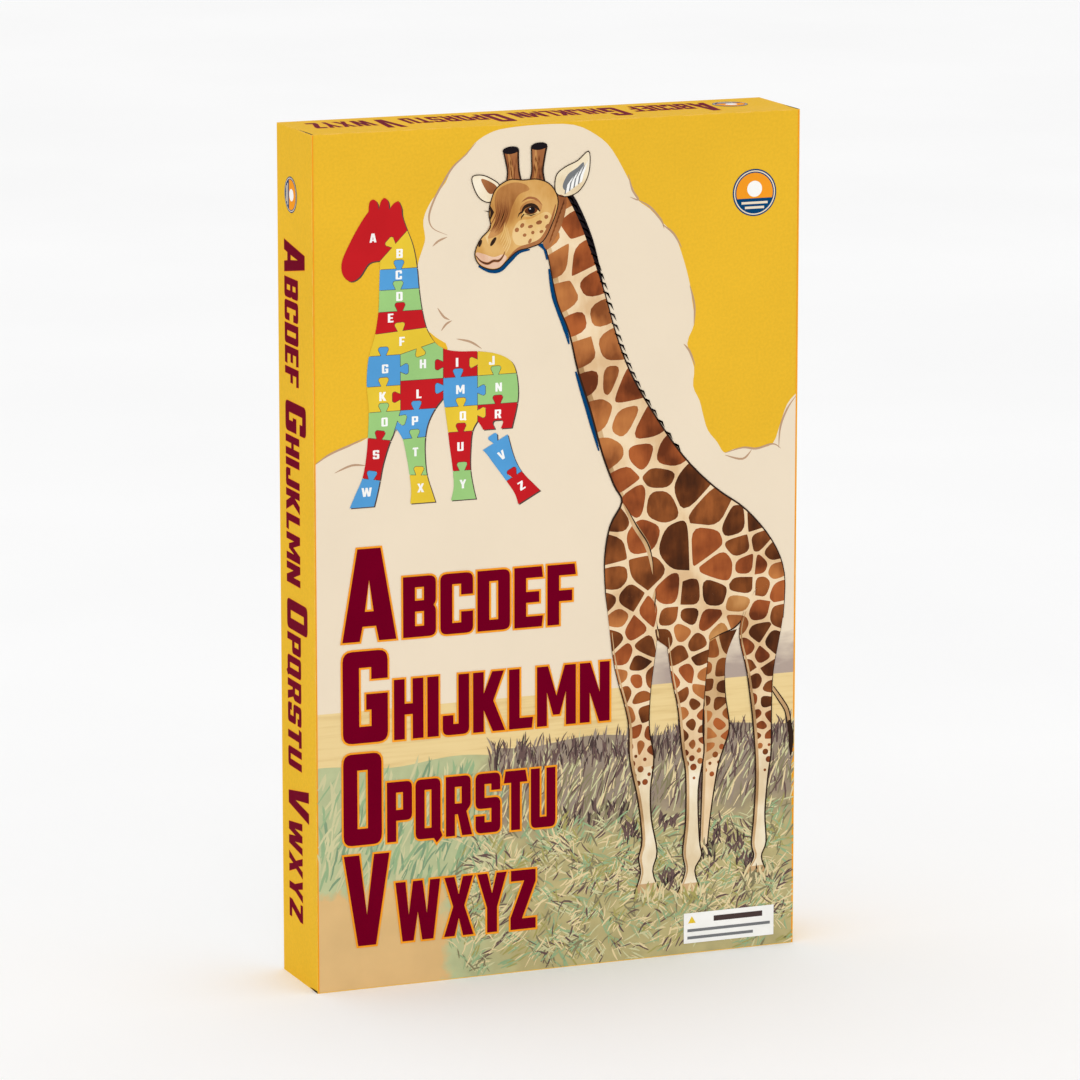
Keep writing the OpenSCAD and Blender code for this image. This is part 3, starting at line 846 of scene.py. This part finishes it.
HEAD_SHAPES = {  # level, ink and outline
    "right_ear": (0, "shin", [(-2, 312), (-1.2, 316.6), (2.4, 319.4), (7.5, 321.6), (12, 325),
        (12.6, 319.6), (11.2, 314), (7.6, 309.4), (2.6, 307.8), (-1, 309)]),
    "right_hollow": (0.3, "grey", [(1.2, 312), (3.4, 316.4), (7.2, 318.8), (10, 320.8), (9.6, 316.4),
        (6.4, 311.6), (3, 310)]),
    "left_ear": (0, "shin", [(-36.2, 317.4), (-32.3, 318), (-28, 316.2), (-25, 313.6), (-26.4, 309.6),
        (-29.3, 307.3), (-33, 309), (-35.4, 313)]),
    "left_hollow": (0.3, "face_brown", [(-32.6, 316.4), (-29, 315.4), (-26, 313), (-27.8, 310.6),
        (-30, 311.4)]),
    "nape": (0.2, "face_brown", [(-7, 290.4), (-6, 295), (-3, 302), (-1.4, 308.4), (2.6, 307.4), (2.4, 302),
        (0.4, 296), (-2.6, 290.6), (-5.2, 287.6)]),
    "face": (1, "face_tan", [(-26.3, 312.5), (-28.6, 307.5), (-29.3, 302.5), (-28.8, 297.5), (-33, 293),
        (-35.2, 287.6), (-33.4, 283.4), (-29, 281.3), (-25, 281.6), (-21.6, 284.6), (-17.4, 287.8),
        (-12.5, 288.8), (-7, 291), (-3.2, 297.5), (-0.6, 306), (-3.4, 312.4), (-9, 315.2), (-15, 315.2),
        (-21, 315.6)]),
    "forehead": (1.1, "face_mid", [(-25.4, 312.2), (-20, 314.4), (-15, 313.8), (-12.6, 311.4), (-17, 309.6),
        (-19.8, 305), (-21.4, 300), (-24, 295.6), (-28.4, 293.4), (-30.4, 294), (-27.4, 298), (-26.6, 303),
        (-27, 308)]),
    "cheek": (1.2, "face_light", [(-17, 299.4), (-12, 300), (-6, 302.4), (-3.2, 300), (-5.4, 294),
        (-9.4, 291), (-14, 290), (-18.2, 290.4), (-19.8, 294.6)]),
    "muzzle": (1.4, "pink", [(-34.8, 288), (-31.4, 287.4), (-27.4, 286), (-23.6, 286.8), (-22, 285.2),
        (-25, 282), (-29, 281.7), (-33.2, 283.8)]),
}
HEAD_EDGES = [("right_ear", 0.5, 0.4), ("left_ear", 0.5, 0.4), ("face", 1.6, 0.45)]
HORNS = [  # the left and the right side of each horn
    ([(-22.6, 313), (-21.6, 318), (-22.4, 323), (-23.4, 327)],
     [(-15.4, 313), (-16.8, 318), (-17.2, 323), (-17.2, 327)]),
    ([(-12.8, 313), (-11.6, 318), (-11.6, 323), (-11.7, 328)],
     [(-6, 313), (-7, 318), (-6.4, 323), (-5.4, 328)]),
]
MOUTH = [(-34.8, 287), (-32.8, 284.7), (-30, 283.6), (-27.6, 284.5), (-25.2, 284.5), (-23.4, 286.4),
    (-22.8, 288)]
BROW = [(-16, 306.6), (-13, 308.2), (-9.6, 307.4), (-7, 304.8)]
EYELID = [(-15.8, 302.4), (-14.6, 304.6), (-12, 305.4), (-9.6, 304.4), (-8.2, 302.6)]
JAW = [(-21.5, 285.2), (-17.4, 288.5), (-12.5, 289.6), (-7.4, 291.8), (-4, 297.6), (-1.6, 305)]
HEAD_PENS = [  # level, ink, line, width, and the share of the width at each end
    (1.45, "face_brown", JAW, 1.7, 0.1, 0.2),
    (1.7, "face_brown", MOUTH, 1.1, 0.3, 0.1),
    (1.8, "line", MOUTH, 0.4, 0.3, 0.1),
    (1.65, "face_brown", BROW, 0.9),
    (1.9, "line", EYELID, 1.4, 0.4, 0.2),
]
HEAD_DASHES = [  # the light on the nose, the near eye's lashes and lower lid, and the far eye
    (1.7, "face_light", [(-29.6, 291), (-30.4, 294), (-28.6, 296.4)], 1.2),
    (1.95, "line", [(-15.4, 303.2), (-16.8, 302.2), (-17.6, 300.6)], 0.55, 1, 0),
    (1.95, "line", [(-14.8, 302), (-15.8, 301), (-16.2, 299.8)], 0.55, 1, 0),
    (1.85, "line", [(-14.8, 302), (-11.9, 301.3), (-9, 302)], 0.5),
    (1.9, "line", [(-29, 306), (-28, 303.4), (-28.8, 300.6)], 1.6, 0.2, 0.2),
    (1.95, "line", [(-29, 303.6), (-31.4, 304.2)], 0.5, 1, 0),
]
HEAD_OVALS = [  # level, ink, middle, width, height and turn: two nostrils, then the near eye
    (1.8, "line", -27.6, 292, 4, 1.5, 55),
    (1.8, "line", -33, 291.6, 3, 1.2, 68),
    (1.5, "face_mid", -12, 304, 9.4, 6.4, 12),
    (1.6, "face_light", -12, 302.4, 7.6, 3, 8),
    (1.7, "patch_dark", -11.9, 303.2, 5.4, 2.9, 4),
    (1.8, "black", -11.7, 303.4, 2.9, 2.5),
    (2, "white", -12.3, 303.9, 0.55, 0.45),
]
CHEEK_SPOTS = [(-15.6, 297.6), (-12.2, 297), (-8.6, 298.4), (-5.6, 300.4), (-14.6, 293.8), (-11.2, 294.6),
    (-7.6, 294.8), (-12.4, 291.4), (-17.8, 296), (-5, 296.8)]


def patch_tones(x, z, inks):
    """The coat is lighter on the neck and belly and at the knees."""
    if z > NECK_END:
        return NECK_INKS
    if z < KNEE_TOP:
        return KNEE_INKS
    return BELLY_INKS if 64 < x < 82 and 128 < z < 146 else inks


def patch_cells(rng, seeds, inks):
    """A rounded cell round each seed (x, z, reach), with gaps between neighbours, as (cell, ink)."""
    result = []
    for x, z, reach in seeds:
        gap = 2.2 if z > NECK_END else 1.3 if z > LEG_TOP else 1.6
        cell = ellipse(x, z, reach * 2, reach * 2, 0, 12)
        for other in seeds:
            apart = Vector((other[0] - x, other[1] - z))
            if 0 < apart.length < reach + other[2] and len(cell) > 2:
                way = apart.normalized()
                cell = cut(cell, Vector((x, z)) + way * (apart.length - gap) / 2, way)
        if len(cell) > 2:
            result.append((rounded(cell), rng.choice(patch_tones(x, z, inks))))
    return result


def add_patches(art, level, outline, cells):
    """The part of the coat's patches that lies within an outline."""
    for cell, tone in cells:
        shape = inside(outline, cell)
        if len(shape) > 2:
            art.add(level, tone, shape)


def scattered(rng, outline, spacing, seeds):
    """More seeds (x, z, reach) inside an outline, which keep spacing(x, z) from each other and from seeds."""
    xs, zs = zip(*outline)
    added = []
    for _ in range(TRIES):
        x, z = rng.uniform(min(xs), max(xs)), rng.uniform(min(zs), max(zs))
        room = spacing(x, z)
        if room and contains(outline, x, z):
            if all((x - s[0]) ** 2 + (z - s[1]) ** 2 > room * room for s in seeds + added):
                added.append((x, z, room * (0.95 if z > KNEE else rng.uniform(0.2, 0.5))))
    return added


def leg_spacing(x, z):
    """Patches grow small towards the knee, and end in a few dots on it."""
    if z < KNEE - 12:
        return None
    return 3 if z < KNEE else 4.1 + (z - KNEE) * 0.06


def neck_seeds(rng, left, right, rows=10):
    """Seeds in rows across the neck: two in a row, and three lower down."""
    seeds = []
    for k in range(rows):
        t = (k + 0.5) / rows
        i = int(t * (len(left) - 1))
        (x0, z0), (x1, z1) = left[i], right[i]
        columns = 2 if t < 0.6 else 3
        for j in range(columns):
            u = (j + 0.5) / columns
            drop = 3.6 if j % 2 == 0 else -3.6
            x = x0 + (x1 - x0) * u + rng.uniform(-0.7, 0.7)
            z = z0 + (z1 - z0) * u - drop + rng.uniform(-1, 1)
            seeds.append((x, z, 12.5 + 2 * t))
    return seeds


def leg_outline(name):
    left, right = (smooth_line(side, 4) for side in LEGS[name])
    return left + right[::-1]


def add_leg(art, base, name, coat, cells):
    """One leg: its coat, pale shin and patches, a shade down its left side, its outline and its hoof."""
    art.base = base
    left, right = (smooth_line(side, 4) for side in LEGS[name])
    outline = left + right[::-1]
    art.add(0, coat, outline)
    art.add(0.2, "shin" if coat == "coat" else "coat", [p for p in outline if p[1] < SHIN_TOP])
    add_patches(art, 0.4, outline, cells)
    art.dash(1, "coat_shade", [(x + 0.9, z) for x, z in left[4:]], 1.1, 0.2, 0.4)
    for side in (left, right):
        art.dash(1.2, "line", side[4:], 0.65, 0.1, 0.8)
    if HOOF[name]:
        ground = min(z for x, z in outline)
        foot = [p for p in outline if p[1] < ground + HOOF[name]]
        middle = sum(x for x, z in foot) / len(foot)
        art.add(1.05, "coat_shade", foot)
        cleft = [(middle, ground), (middle + 0.4, ground + 2), (middle + 0.2, ground + 4)]
        art.dash(1.3, "line", cleft, 0.7, 1, 0)


def add_body(art, base):
    """Neck and body, and the cells of the coat's patches, which run on into the legs."""
    rng = art.rng
    art.base = base
    neck_left, neck_right = smooth_line(NECK_LEFT, 4), smooth_line(NECK_RIGHT, 4)
    front, back = smooth_line(NECK_LEFT + CHEST, 4), smooth_line((NECK_RIGHT + RUMP)[::-1], 4)
    body = front + smooth_line(BELLY[::-1], 4) + back
    art.add(0, "coat", body)
    art.dash(0.3, "coat_shade", [(x + 1.4, z) for x, z in neck_left], 2.4, 0.6, 0.5)
    on_neck = neck_seeds(rng, neck_left, neck_right)

    def torso_spacing(x, z):
        """Patches are largest at the shoulder and small on the rump and belly."""
        if any((x - s[0]) ** 2 + (z - s[1]) ** 2 < 90 for s in on_neck):
            return None
        return max(5.6, 13 - max(0, x - 54) * 0.21 - max(0, 146 - z) * 0.12)

    seeds = on_neck + scattered(rng, [p for p in body if p[1] < NECK_END - 2], torso_spacing, [])
    for name in ("front_left", "front_right", "hind"):
        seeds += scattered(rng, leg_outline(name), leg_spacing, seeds)
    cells = patch_cells(rng, seeds, PATCH_INKS)
    add_patches(art, 0.6, body, cells)
    for fold in FOLDS:
        art.pen(1.2, "coat_shade", fold, 2.2)
        art.dash(1.4, "line", [(x + 0.7, z) for x, z in smooth_line(fold)], 0.6)
    art.dash(1.6, "line", front, 0.8, 0.4, 0.2)
    art.dash(1.6, "line", smooth_line(NECK_RIGHT[2:] + RUMP, 4), 0.7, 0.5, 0.4)
    art.pen(1.6, "line", BELLY_LINE, 0.6)
    art.pen(1.8, "black", MANE, 2.6, 0.5, 0.1)
    for _ in range(95):
        x, z = neck_right[int(rng.uniform(0, 1) ** 1.6 * (len(neck_right) - 5))]
        art.dash(1.9, "black", [(x - 0.8, z + 1), (x + 1.3, z - 0.2), (x + 2.5, z - 2.6)], 0.8, 0.6, 0)
    return cells


def add_head(art, base):
    """Horns, ears and face."""
    rng = art.rng
    art.base = base
    for sides in HORNS:
        left, right = (smooth_line(side) for side in sides)
        art.add(0, "face_brown", left + right[::-1])
        art.dash(0.2, "face_mid", [(x + 1.7, z) for x, z in left], 1.3, 0.6, 0.2)
        for k in range(14):
            x, z = rng.uniform(left[8][0] + 0.8, right[8][0] - 0.8), rng.uniform(314, 322)
            art.dash(0.25 + 0.01 * k, "patch_dark", [(x, z), (x - 0.1, z + 1.6), (x, z + 3.2)], 0.35)
        art.dash(0.5, "line", left, 0.6, 1, 1)
        art.dash(0.5, "line", right, 0.8, 1, 1)
        art.oval(0.8, "black", (left[-1][0] + right[-1][0]) / 2, left[-1][1], 6.8, 2.9, 4)
    for level, tone, outline in HEAD_SHAPES.values():
        art.blob(level, tone, outline)
    for name, level, width in HEAD_EDGES:
        art.add(level, "line", *border(smooth_loop(HEAD_SHAPES[name][2], 4), width))
    for k in range(12):  # white hairs in the near ear
        x, z = 2.2 + k * 0.62, 308.8 + k * 0.4
        hair = [(x, z), (x + 0.6, z + 3), (x + 2.2 + k * 0.1, z + 5.5 + k * 0.3)]
        art.dash(0.6 + 0.02 * k, "white" if k % 3 else "grey", hair, 0.6, 0.8)
    for k in range(6):  # light hairs down the nose
        x, z = -22.6 + 0.5 * k, 299.6 - 1.1 * k
        art.pen(1.25, "face_light", [(x, z), (x - 0.8, z - 4), (x - 2.6, z - 7.4)], 0.55)
    for k in range(9):  # dark hairs down the forehead
        x, z = -25.6 + 0.55 * k, 309.6 - 0.5 * (k % 3)
        hair = [(x, z), (x - 0.5, z - 6), (x - 2.4, z - 10 - k % 2), (x - 4.6, z - 13.6)]
        art.pen(1.15, "face_brown", hair, 0.4)
    art.blades(0.3, 10, (-17, 289.6, -8, 291.4), (1.5, 3), (0.3, 0.5), 60, 8, ["face_mid"])
    for k in range(9):  # hairs on the nape
        x, z = -4.4 + 0.66 * k, 290 + 1.7 * k
        art.dash(0.3 + 0.02 * k, "patch_dark", [(x, z), (x + 0.7, z + 1.6), (x + 1, z + 3.6)], 0.7)
    for row in HEAD_PENS:
        art.pen(*row)
    for row in HEAD_DASHES:
        art.dash(*row)
    for row in HEAD_OVALS:
        art.oval(*row)
    for x, z in CHEEK_SPOTS:
        size = rng.uniform(1.4, 2.7)
        art.oval(1.8, "face_brown", x, z, size, rng.uniform(1.1, 1.8), rng.uniform(0, 60), 9)


def print_giraffe():
    art = Print("print_giraffe", FRONT, seed=5)
    art.pen(FAR_LEG - 0.2, "line", TAIL, 2.3, 0.8, 0.8)
    art.pen(FAR_LEG - 0.1, "coat_shade", TAIL, 1.3, 0.8, 0.8)
    art.pen(FAR_LEG + 0.2, "line", TAIL_HAIR, 2.2, 0.4, 0.1)
    for rim in RIMS:
        art.pen(RIM, "navy", rim, 1.7, 0.4, 0.3)
    far_seeds = scattered(art.rng, leg_outline("far_hind"), leg_spacing, [])
    far_cells = patch_cells(art.rng, far_seeds, PATCH_INKS[:3])
    add_leg(art, FAR_LEG, "far_hind", "coat_shade", far_cells)
    cells = add_body(art, BODY)
    for name in ("hind", "front_left", "front_right"):
        add_leg(art, NEAR_LEG, name, "coat", cells)
    add_head(art, HEAD)
    art.base = FOOT_GRASS
    for area, tone in FOOT_TUFTS:
        art.blades(0, 26, area, (4, 7), (0.6, 1.1), 10, 40, ["straw", "leaf_pale", tone])
    art.base = FAR_LEG
    art.blades(1.5, 22, (59, 37, 67, 43), (3, 6), (0.7, 1.2), 0, 40, ["shade", "moss", "straw"])
    art.done()


# ---- the picture: the puzzle itself
PICTURE_SCALE = 0.383
PICTURE_AT = (-53.3, 190.0)  # where the tray's centre line at its lower end comes on the lid
LETTER_W = 7.4
LETTER_H = 9
LETTER_STRETCH = 1.45
LOOSE = "VZ"  # a foot shown fallen away from its leg
LOOSE_TURN = 28
LOOSE_SHIFT = (1.8, -4.4)


def front_of(node):
    """The triangles of a node's painted face, in millimetres, and their middle."""
    mesh = frame["nodes"][node].data
    mesh.calc_loop_triangles()
    face_y = min(v.co.y for v in mesh.vertices)
    triangles = []
    for tri in mesh.loop_triangles:
        points = [mesh.vertices[i].co for i in tri.vertices]
        if all(abs(p.y - face_y) < 1e-5 for p in points):
            triangles.append([(p.x / MM, p.z / MM) for p in points])
    areas = [abs(area_of(tri)) for tri in triangles]
    centres = [[sum(p[i] for p in tri) / 3 for i in (0, 1)] for tri in triangles]
    middle = [sum(a * c[i] for a, c in zip(areas, centres)) / sum(areas) for i in (0, 1)]
    return triangles, middle


def paint_of(letter):
    for part in frame["record"]["subparts"]:
        if part["node"] == "piece_" + letter:
            return part["material_slot"].split("_")[-1]


def letter_place(triangles, middle):
    """The point nearest the middle of a piece where a letter lies wholly on the piece."""
    shares = (-0.6, -0.2, 0.2, 0.6)
    places = [(middle[0] + 0.8 * i, middle[1] + 0.8 * j) for i in range(-20, 21) for j in range(-15, 16)]
    places.sort(key=lambda p: math.hypot(p[0] - middle[0], 1.6 * (p[1] - middle[1])))
    for x, z in places:
        frame_points = [(x + LETTER_W * u, z + LETTER_H * v) for u in shares for v in shares]
        if all(any(contains(tri, *p) for tri in triangles) for p in frame_points):
            return x, z
    return middle


def letter_on(letter, triangles, middle):
    """A capital on a piece."""
    x, z = letter_place(triangles, middle)
    width, loops = capital(letter, LETTER_H)
    x -= width / 2 * LETTER_STRETCH
    z -= LETTER_H / 2
    return [[(x + px * LETTER_STRETCH, z + pz) for px, pz in loop] for loop in loops]


def print_puzzle_picture():
    art = Print("print_puzzle_picture", FRONT)
    art.base = PUZZLE
    pivot = front_of("piece_" + LOOSE[0])[1]
    for k, letter in enumerate(LETTERS):
        triangles, middle = front_of("piece_" + letter)
        angle, (dx, dz) = (LOOSE_TURN, LOOSE_SHIFT) if letter in LOOSE else (0, (0, 0))
        x, z = PICTURE_AT[0] + dx, PICTURE_AT[1] + dz

        def small(loop, right=0.0, up=0.0):
            return placed(loop, x + right, z + up, PICTURE_SCALE, angle, pivot)

        art.add(0, "cut_shadow", *(small(tri, 0.5, -0.4) for tri in triangles))
        art.add(1 + 0.03 * k, "puzzle_" + paint_of(letter), *(small(tri) for tri in triangles))
        art.add(2, "white", [small(loop) for loop in letter_on(letter, triangles, middle)])
    art.done()


def paint_letters():
    """A white capital on each wooden piece."""
    for letter in LETTERS:
        node = "piece_" + letter
        face = Face((0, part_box(node)[0].y, 0), (1, 0, 0), (0, 0, 1))
        art = Print("painted_" + letter, face, "letter_" + letter, "painted_wood_" + paint_of(letter))
        art.add(2, "white", letter_on(letter, *front_of(node)))
        art.done()


# ---- titles, badge, notice and seams
ROWS = [("ABCDEF", 139, 97.4), ("GHIJKLMN", 98.7, 111.8), ("OPQRSTU", 58, 88.8), ("VWXYZ", 17.5, 80.4)]
SPINE_WORDS = [row[0] for row in ROWS]
SPINES = {"left": (LEFT, -124.5, 269), "right": (RIGHT, -124.5, 269), "top": (TOP, -74, 167)}
EDGE_LINE = 0.45
HILL_TOP = 0.12


def print_titles():
    letters = []
    for word, z, length in ROWS:
        letters += set_words([word], -90.4, z, 24, 36.5, length)
    print_words("print_title_front", FRONT, TITLE, letters, 0.75)
    for name, (face, x, length) in SPINES.items():
        spine = set_words(SPINE_WORDS, x, -12.2, 15.5, 23.3, length)
        print_words("print_title_" + name, face, 1, spine, 0.25)


def print_badge(name, face, x, z, size):
    """A plain round badge: a sun over a hill."""
    art = Print("print_badge_" + name, face)

    def disc(scale, dz=0.0):
        return ellipse(x, z + dz * size, size * scale, size * scale, 0, 40)

    art.add(5, "navy", disc(1))
    art.add(6, "cream", disc(0.94))
    art.add(7, "navy", disc(0.89))
    art.add(8, "orange", cut(disc(0.84), (x, z - size * HILL_TOP), (0, -1)))
    art.add(9, "navy", cut(disc(0.84), (x, z - size * HILL_TOP), (0, 1)))
    art.add(9, "white", disc(0.34, 0.08))
    for k, half in enumerate((0.30, 0.22)):
        low = z - size * (0.24 + 0.1 * k)
        art.add(10, "cream", rectangle(x - size * half, low, x + size * half, low + size * 0.05))
    art.done()


def print_label():
    """A blank white notice: bars stand for its lines."""
    art = Print("print_label", FRONT)
    x0, z0, x1, z1 = 53.6, 4.3, 92.8, 16.7
    art.add(NOTICE, "white", rectangle(x0, z0, x1, z1))
    art.base = NOTICE + 1
    art.add(0, "shade", rectangle(x0 + 13, z1 - 4.2, x1 - 5, z1 - 2))
    art.add(0, "puzzle_yellow", [(x0 + 1.8, z1 - 4.2), (x0 + 5.2, z1 - 4.2), (x0 + 3.5, z1 - 1.3)])
    art.add(0, "grey", rectangle(x0 + 1.6, z1 - 7.8, x1 - 1.6, z1 - 6.6))
    art.add(0, "grey", rectangle(x0 + 1.6, z1 - 10.8, x1 - 9, z1 - 9.6))
    art.done()


def print_edges():
    """The orange line down both sides of the face, and the dark seams at the wrap's folded corners."""
    art = Print("print_edge_lines", FRONT)
    for x in (-EDGE, EDGE - EDGE_LINE):
        art.add(3, "orange", rectangle(x, MARGIN, x + EDGE_LINE, FACE_H - MARGIN))
    art.done()
    half_d = WALL_D / 2 - 0.1
    across = FACE_W / 2 - 0.45
    down = FACE_H / 2 - 0.45
    for name, face, places, length in (
            ("top", TOP, (-across, across), 16), ("left", LEFT, (down,), 9), ("right", RIGHT, (-down,), 9)):
        art = Print("print_seams_" + name, face)
        for x in places:
            art.dash(1, "line", [(x, half_d), (x, half_d - length * 0.4), (x, half_d - length)], 0.8, 1, 0)
        art.done()


# ---- start
make_camera()
bpy.context.scene.view_settings.view_transform = "Standard"
make_stage()

MATERIALS = {
    "lid_paper": wrap_material(),
    "tray_paper": plain_paper_material(),
    "greyboard": greyboard_material(),
    "stay_tape": stay_tape_material(),
}
for paint in ("red", "yellow", "blue", "green"):
    slot_name = "painted_wood_" + paint
    MATERIALS[slot_name] = painted_wood_material(slot_name, INKS["puzzle_" + paint])
for part in frame["record"]["subparts"]:
    node = frame["nodes"][part["node"]]
    node.data.materials.clear()
    node.data.materials.append(MATERIALS[part["material_slot"]])

print_sky()
print_ground()
print_grass()
print_giraffe()
print_puzzle_picture()
print_titles()
print_badge("front", FRONT, 82.3, 305.1, 18.6)
print_badge("left", LEFT, -142.5, -4, 14)
print_badge("right", RIGHT, -142.5, -4, 14)
print_badge("top", TOP, -82, -4, 14)
print_label()
print_edges()
paint_letters()
